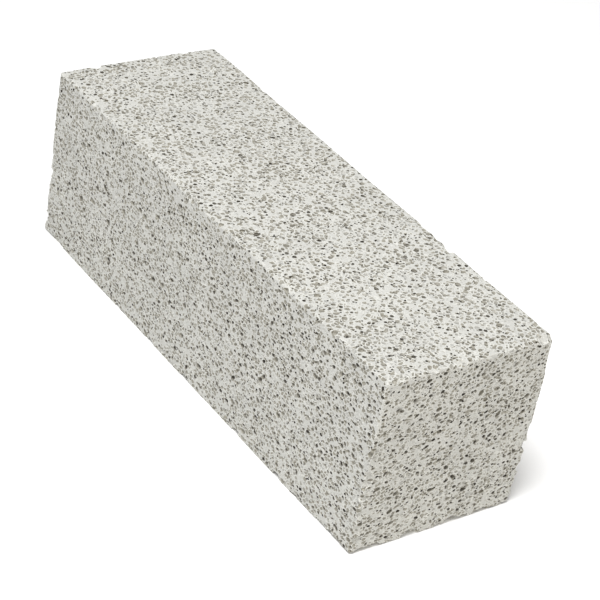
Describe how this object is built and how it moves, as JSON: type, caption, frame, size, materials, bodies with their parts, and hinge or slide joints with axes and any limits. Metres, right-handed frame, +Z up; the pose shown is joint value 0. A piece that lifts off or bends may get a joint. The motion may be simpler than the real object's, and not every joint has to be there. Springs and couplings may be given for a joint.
{
  "type": "pumice stone",
  "caption": "Square-sawn bar of pale grey pumice, hand-held, for scouring and smoothing; every face is open foamed stone and the edges are slightly worn.",
  "frame": {"origin": "middle of the underside's bounding box, on the surface that the bar rests on", "axes": "+Z up; +X along the bar, towards the end that faces the viewer; +Y across it, towards the back"},
  "size_m": [0.1522, 0.0496, 0.0501],
  "materials": {
    "pumice": "matte"
  },
  "bodies": {
    "root": {"pumice_stone": "pumice"}
  },
  "joints": []
}
